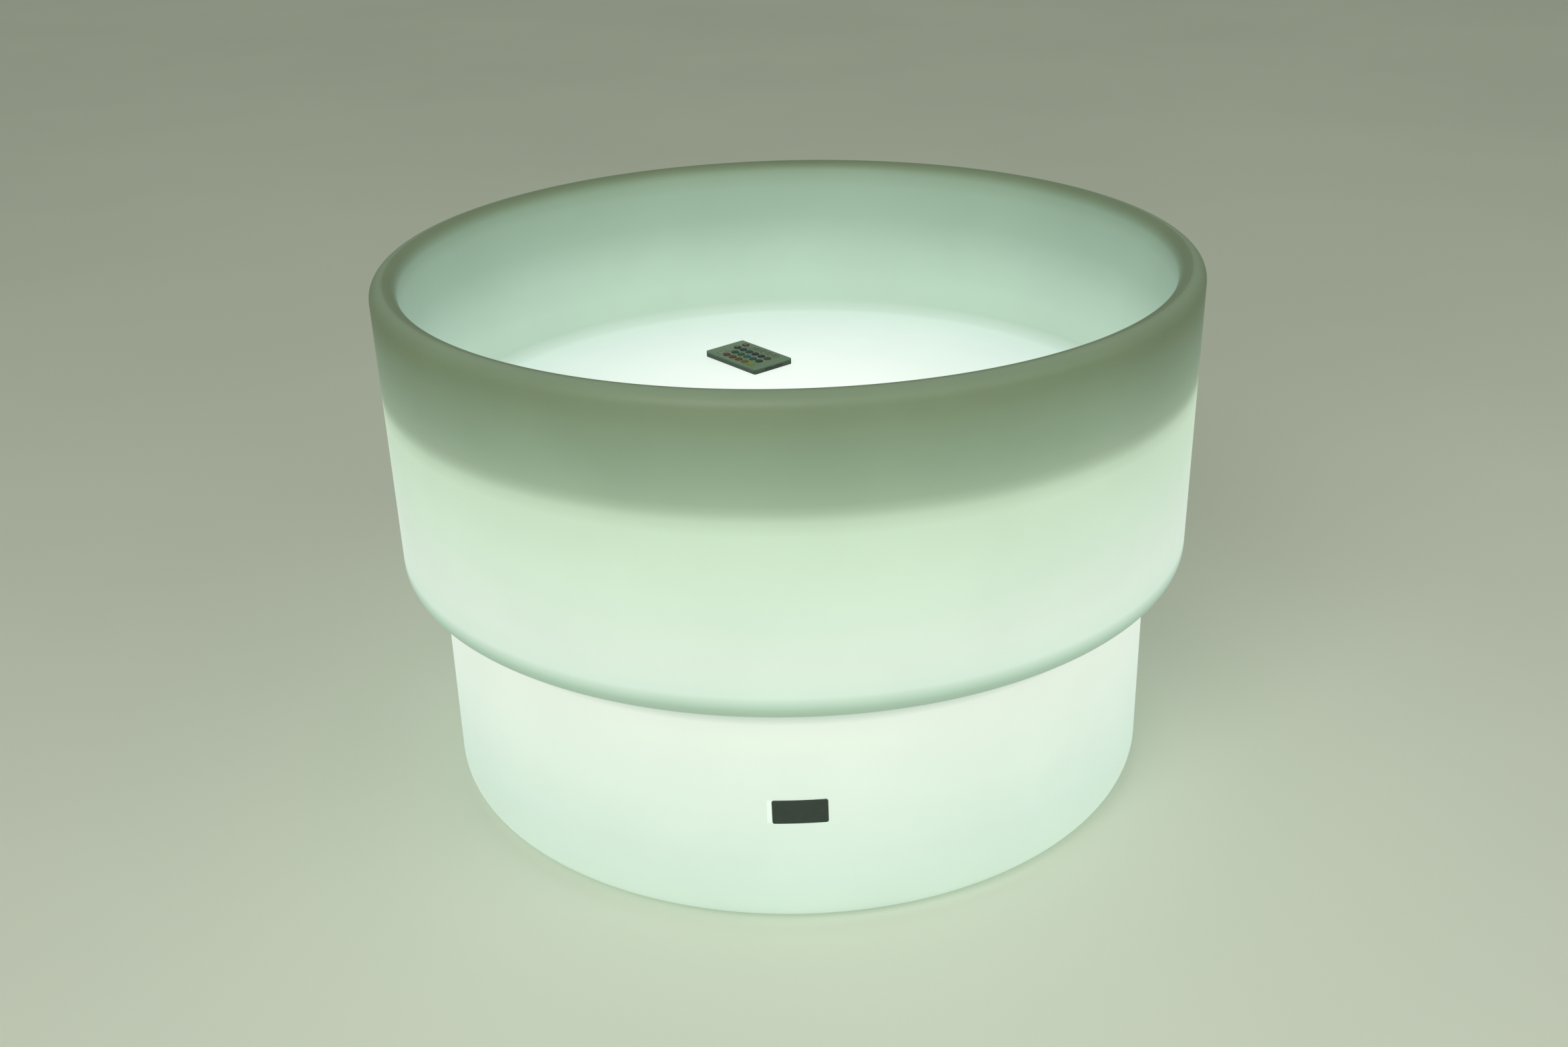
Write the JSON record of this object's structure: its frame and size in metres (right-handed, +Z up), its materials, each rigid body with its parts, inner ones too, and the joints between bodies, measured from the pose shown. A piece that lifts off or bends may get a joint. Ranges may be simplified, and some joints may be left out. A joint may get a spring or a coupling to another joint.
{
  "type": "light-up table",
  "caption": "Round stepped light-up table with a deep basin on top, a lamp unit that closes its base, and a flat remote control lying in the basin.",
  "frame": {"origin": "on the table's axis, on the surface that the feet stand on", "axes": "+Z up along the table's axis, -Y towards the front, where the bare plate is"},
  "size_m": [0.7998, 0.7998, 0.532],
  "materials": {
    "shell": "milky rotationally moulded polyethylene, lit from inside",
    "plate": "bare film plate",
    "foot": "moulded rubber pad",
    "unit": "injection-moulded, satin",
    "gasket": "cut silicone ring",
    "screw": "zinc-plated",
    "insert": "turned brass",
    "dome": "frosted, lit from inside",
    "lamp_board": "white solder mask with lamps",
    "battery": "heat-shrunk wrapping",
    "strap": "bent sheet steel",
    "board": "green solder mask",
    "lead": "insulated lead",
    "socket": "black plastic socket",
    "cap": "soft rubber cap",
    "switch": "black plastic switch body",
    "button": "green plastic button",
    "lens": "clear light pipe",
    "remote_case": "satin moulded plastic",
    "web": "silicone sheet",
    "coin": "bright steel",
    "infrared": "clear moulded lamp",
    "key_brighter_silicone": "moulded silicone",
    "key_dimmer_silicone": "moulded silicone",
    "key_off_silicone": "moulded silicone",
    "key_on_silicone": "moulded silicone",
    "key_red_silicone": "moulded silicone",
    "key_green_silicone": "moulded silicone",
    "key_blue_silicone": "moulded silicone",
    "key_white_silicone": "moulded silicone",
    "key_orange_red_silicone": "moulded silicone",
    "key_light_green_silicone": "moulded silicone",
    "key_royal_blue_silicone": "moulded silicone",
    "key_flash_silicone": "moulded silicone",
    "key_orange_silicone": "moulded silicone",
    "key_cyan_silicone": "moulded silicone",
    "key_violet_silicone": "moulded silicone",
    "key_strobe_silicone": "moulded silicone",
    "key_amber_silicone": "moulded silicone",
    "key_sky_blue_silicone": "moulded silicone",
    "key_purple_silicone": "moulded silicone",
    "key_fade_silicone": "moulded silicone",
    "key_yellow_silicone": "moulded silicone",
    "key_deep_teal_silicone": "moulded silicone",
    "key_pink_silicone": "moulded silicone",
    "key_smooth_silicone": "moulded silicone"
  },
  "bodies": {
    "table": {"body_shell": "shell", "front_plate": "plate", "foot_1": "foot", "foot_2": "foot", "foot_3": "foot", "foot_4": "foot", "unit_base": "unit", "unit_gasket": "gasket", "unit_screw_1": "screw", "unit_screw_2": "screw", "unit_screw_3": "screw", "unit_screw_4": "screw", "shell_insert_1": "insert", "shell_insert_2": "insert", "shell_insert_3": "insert", "shell_insert_4": "insert", "diffuser_dome": "dome", "led_board": "lamp_board", "battery_pack": "battery", "battery_clamp": "strap", "control_board": "board", "lead_battery": "lead", "lead_socket": "lead", "lead_lamps": "lead", "charge_socket": "socket", "power_switch": "switch", "indicator_lens": "lens"},
    "remote": {"remote_case_lower": "remote_case", "remote_case_upper": "remote_case", "remote_circuit": "board", "key_web": "web", "infrared_lamp": "infrared"},
    "battery_tray": {"battery_tray": "remote_case", "coin_cell": "coin"},
    "power_button": {"power_button": "button"},
    "socket_cap": {"socket_cap": "cap"},
    "key_brighter": {"key_brighter": "key_brighter_silicone"},
    "key_dimmer": {"key_dimmer": "key_dimmer_silicone"},
    "key_off": {"key_off": "key_off_silicone"},
    "key_on": {"key_on": "key_on_silicone"},
    "key_red": {"key_red": "key_red_silicone"},
    "key_green": {"key_green": "key_green_silicone"},
    "key_blue": {"key_blue": "key_blue_silicone"},
    "key_white": {"key_white": "key_white_silicone"},
    "key_orange_red": {"key_orange_red": "key_orange_red_silicone"},
    "key_light_green": {"key_light_green": "key_light_green_silicone"},
    "key_royal_blue": {"key_royal_blue": "key_royal_blue_silicone"},
    "key_flash": {"key_flash": "key_flash_silicone"},
    "key_orange": {"key_orange": "key_orange_silicone"},
    "key_cyan": {"key_cyan": "key_cyan_silicone"},
    "key_violet": {"key_violet": "key_violet_silicone"},
    "key_strobe": {"key_strobe": "key_strobe_silicone"},
    "key_amber": {"key_amber": "key_amber_silicone"},
    "key_sky_blue": {"key_sky_blue": "key_sky_blue_silicone"},
    "key_purple": {"key_purple": "key_purple_silicone"},
    "key_fade": {"key_fade": "key_fade_silicone"},
    "key_yellow": {"key_yellow": "key_yellow_silicone"},
    "key_deep_teal": {"key_deep_teal": "key_deep_teal_silicone"},
    "key_pink": {"key_pink": "key_pink_silicone"},
    "key_smooth": {"key_smooth": "key_smooth_silicone"}
  },
  "joints": [
    {"name": "base_button_press", "type": "slide", "parent": "table", "child": "power_button", "axis": [0, 0, 1], "range_m": [0, 0.0015], "stiffness_N_per_m": 2000, "springref_m": -0.001},
    {"name": "battery_tray_slide", "type": "slide", "parent": "remote", "child": "battery_tray", "axis": [0.6428, -0.766, 0], "range_m": [0, 0.028]},
    {"name": "cap_hinge", "type": "hinge", "parent": "table", "child": "socket_cap", "pos_m": [0.037, -0.036, 0.008], "axis": [0, -1, 0], "range_deg": [0, 100], "stiffness_Nm_per_rad": 0.003, "springref_deg": -17.19},
    {"name": "control_lift", "type": "slide", "parent": "table", "child": "remote", "axis": [0, 0, 1], "range_m": [0, 0.25]},
    {"name": "key_brighter_press", "type": "slide", "parent": "remote", "child": "key_brighter", "axis": [0, 0, -1], "range_m": [0, 0.00025], "stiffness_N_per_m": 1200, "springref_m": -0.0005},
    {"name": "key_dimmer_press", "type": "slide", "parent": "remote", "child": "key_dimmer", "axis": [0, 0, -1], "range_m": [0, 0.00025], "stiffness_N_per_m": 1200, "springref_m": -0.0005},
    {"name": "key_off_press", "type": "slide", "parent": "remote", "child": "key_off", "axis": [0, 0, -1], "range_m": [0, 0.00025], "stiffness_N_per_m": 1200, "springref_m": -0.0005},
    {"name": "key_on_press", "type": "slide", "parent": "remote", "child": "key_on", "axis": [0, 0, -1], "range_m": [0, 0.00025], "stiffness_N_per_m": 1200, "springref_m": -0.0005},
    {"name": "key_red_press", "type": "slide", "parent": "remote", "child": "key_red", "axis": [0, 0, -1], "range_m": [0, 0.00025], "stiffness_N_per_m": 1200, "springref_m": -0.0005},
    {"name": "key_green_press", "type": "slide", "parent": "remote", "child": "key_green", "axis": [0, 0, -1], "range_m": [0, 0.00025], "stiffness_N_per_m": 1200, "springref_m": -0.0005},
    {"name": "key_blue_press", "type": "slide", "parent": "remote", "child": "key_blue", "axis": [0, 0, -1], "range_m": [0, 0.00025], "stiffness_N_per_m": 1200, "springref_m": -0.0005},
    {"name": "key_white_press", "type": "slide", "parent": "remote", "child": "key_white", "axis": [0, 0, -1], "range_m": [0, 0.00025], "stiffness_N_per_m": 1200, "springref_m": -0.0005},
    {"name": "key_orange_red_press", "type": "slide", "parent": "remote", "child": "key_orange_red", "axis": [0, 0, -1], "range_m": [0, 0.00025], "stiffness_N_per_m": 1200, "springref_m": -0.0005},
    {"name": "key_light_green_press", "type": "slide", "parent": "remote", "child": "key_light_green", "axis": [0, 0, -1], "range_m": [0, 0.00025], "stiffness_N_per_m": 1200, "springref_m": -0.0005},
    {"name": "key_royal_blue_press", "type": "slide", "parent": "remote", "child": "key_royal_blue", "axis": [0, 0, -1], "range_m": [0, 0.00025], "stiffness_N_per_m": 1200, "springref_m": -0.0005},
    {"name": "key_flash_press", "type": "slide", "parent": "remote", "child": "key_flash", "axis": [0, 0, -1], "range_m": [0, 0.00025], "stiffness_N_per_m": 1200, "springref_m": -0.0005},
    {"name": "key_orange_press", "type": "slide", "parent": "remote", "child": "key_orange", "axis": [0, 0, -1], "range_m": [0, 0.00025], "stiffness_N_per_m": 1200, "springref_m": -0.0005},
    {"name": "key_cyan_press", "type": "slide", "parent": "remote", "child": "key_cyan", "axis": [0, 0, -1], "range_m": [0, 0.00025], "stiffness_N_per_m": 1200, "springref_m": -0.0005},
    {"name": "key_violet_press", "type": "slide", "parent": "remote", "child": "key_violet", "axis": [0, 0, -1], "range_m": [0, 0.00025], "stiffness_N_per_m": 1200, "springref_m": -0.0005},
    {"name": "key_strobe_press", "type": "slide", "parent": "remote", "child": "key_strobe", "axis": [0, 0, -1], "range_m": [0, 0.00025], "stiffness_N_per_m": 1200, "springref_m": -0.0005},
    {"name": "key_amber_press", "type": "slide", "parent": "remote", "child": "key_amber", "axis": [0, 0, -1], "range_m": [0, 0.00025], "stiffness_N_per_m": 1200, "springref_m": -0.0005},
    {"name": "key_sky_blue_press", "type": "slide", "parent": "remote", "child": "key_sky_blue", "axis": [0, 0, -1], "range_m": [0, 0.00025], "stiffness_N_per_m": 1200, "springref_m": -0.0005},
    {"name": "key_purple_press", "type": "slide", "parent": "remote", "child": "key_purple", "axis": [0, 0, -1], "range_m": [0, 0.00025], "stiffness_N_per_m": 1200, "springref_m": -0.0005},
    {"name": "key_fade_press", "type": "slide", "parent": "remote", "child": "key_fade", "axis": [0, 0, -1], "range_m": [0, 0.00025], "stiffness_N_per_m": 1200, "springref_m": -0.0005},
    {"name": "key_yellow_press", "type": "slide", "parent": "remote", "child": "key_yellow", "axis": [0, 0, -1], "range_m": [0, 0.00025], "stiffness_N_per_m": 1200, "springref_m": -0.0005},
    {"name": "key_deep_teal_press", "type": "slide", "parent": "remote", "child": "key_deep_teal", "axis": [0, 0, -1], "range_m": [0, 0.00025], "stiffness_N_per_m": 1200, "springref_m": -0.0005},
    {"name": "key_pink_press", "type": "slide", "parent": "remote", "child": "key_pink", "axis": [0, 0, -1], "range_m": [0, 0.00025], "stiffness_N_per_m": 1200, "springref_m": -0.0005},
    {"name": "key_smooth_press", "type": "slide", "parent": "remote", "child": "key_smooth", "axis": [0, 0, -1], "range_m": [0, 0.00025], "stiffness_N_per_m": 1200, "springref_m": -0.0005}
  ]
}
